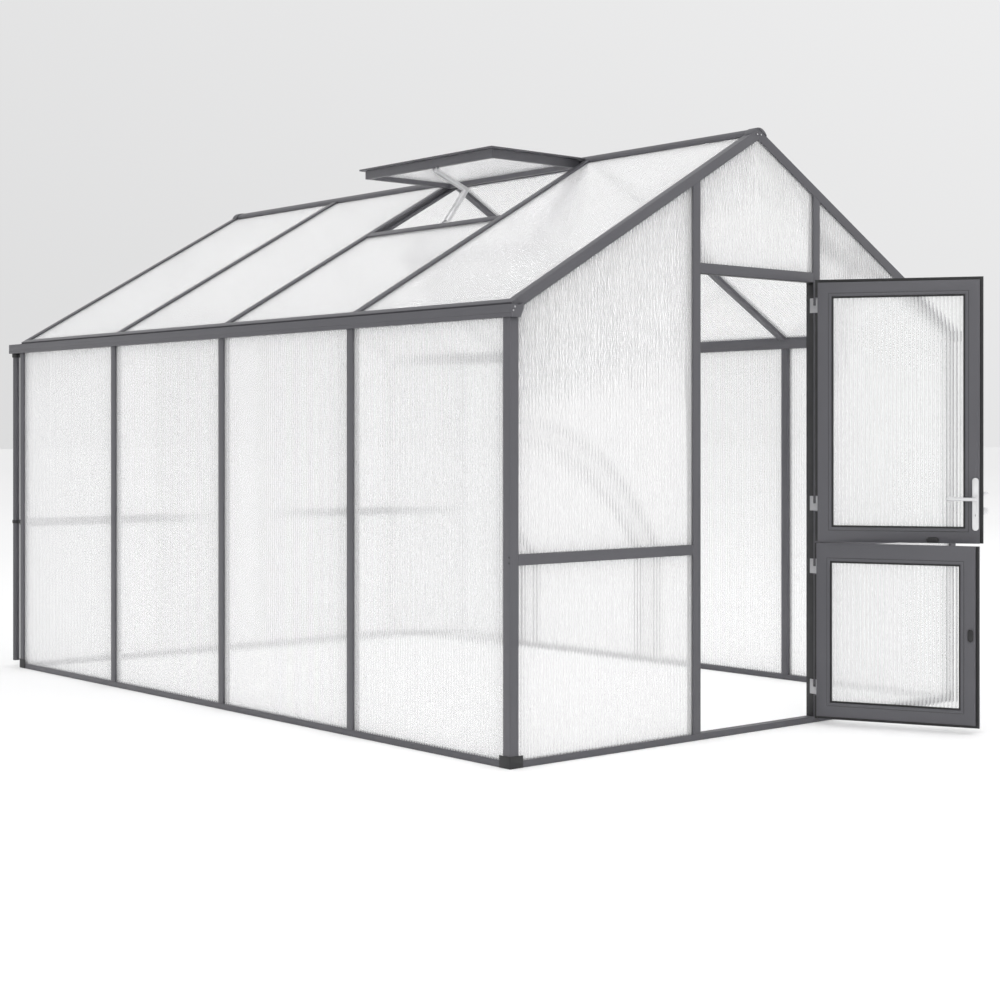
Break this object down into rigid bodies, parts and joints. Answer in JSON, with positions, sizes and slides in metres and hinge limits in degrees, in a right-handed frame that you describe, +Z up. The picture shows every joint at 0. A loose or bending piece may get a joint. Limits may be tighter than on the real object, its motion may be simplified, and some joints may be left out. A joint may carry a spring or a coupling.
{
  "type": "polycarbonate greenhouse",
  "caption": "Small gable-roofed greenhouse of grooved aluminium bars with twin-wall sheets, a two-part hinged door and an open roof vent.",
  "frame": {"origin": "on the ground, under the middle of the base rail that crosses the doorway", "axes": "+Z up, -Y out through the doorway, +X to the right seen from outside the door; the house stands over +Y"},
  "size_m": [2.612, 4.7057, 2.4321],
  "materials": {
    "frame_paint": "fine matt powder coat, anthracite grey",
    "glazing_sheet": "clear ribbed twin-wall sheet that blurs what is behind it",
    "black_plastic": "moulded, slightly rough",
    "bare_metal": "satin"
  },
  "bodies": {
    "house": {"base_rails": "frame_paint", "corner_posts": "frame_paint", "wall_studs": "frame_paint", "door_posts": "frame_paint", "rear_gable_posts": "frame_paint", "door_lintel": "frame_paint", "mid_rails": "frame_paint", "gutter_soles": "frame_paint", "gutter_heels": "frame_paint", "gutter_fronts": "frame_paint", "front_barge_bars": "frame_paint", "rear_barge_bars": "frame_paint", "roof_bars": "frame_paint", "eaves_strips": "frame_paint", "ridge": "frame_paint", "vent_cross_bar": "frame_paint", "roof_vent_frame": "frame_paint", "downpipes": "frame_paint", "gutter_end_caps": "frame_paint", "ridge_end_caps": "frame_paint", "wall_sheets": "glazing_sheet", "front_gable_sheets": "glazing_sheet", "rear_gable_sheets": "glazing_sheet", "left_roof_sheets": "glazing_sheet", "right_roof_sheets": "glazing_sheet", "roof_vent_sheet": "glazing_sheet", "corner_feet": "black_plastic", "gutter_outlets": "black_plastic", "downpipe_clips": "black_plastic", "post_hinges": "bare_metal", "vent_opener": "bare_metal", "opener_cylinder": "bare_metal"},
    "upper_leaf": {"upper_door_frame": "frame_paint", "upper_door_sheet": "glazing_sheet", "upper_door_bead": "black_plastic", "upper_door_hinges": "bare_metal", "handle_plates": "bare_metal", "lock_bolts": "bare_metal", "upper_door_latch": "black_plastic"},
    "lower_leaf": {"lower_door_frame": "frame_paint", "lower_door_sheet": "glazing_sheet", "lower_door_bead": "black_plastic", "lower_door_hinges": "bare_metal", "lower_door_latch": "black_plastic"},
    "lever": {"door_lever": "bare_metal"}
  },
  "joints": [
    {"name": "upper_door", "type": "hinge", "parent": "house", "child": "upper_leaf", "pos_m": [0.3335, -0.04, 1.32], "axis": [0, 0, 1], "range_deg": [-123, 42]},
    {"name": "lower_door", "type": "hinge", "parent": "house", "child": "lower_leaf", "pos_m": [0.3335, -0.04, 0.4], "axis": [0, 0, 1], "range_deg": [-114, 51]},
    {"name": "lever_turn", "type": "hinge", "parent": "upper_leaf", "child": "lever", "pos_m": [0.65763, -0.59787, 0.934], "axis": [-0.8387, -0.5446, 0], "range_deg": [0, 40], "stiffness_Nm_per_rad": 0.6, "springref_deg": -28.65}
  ]
}
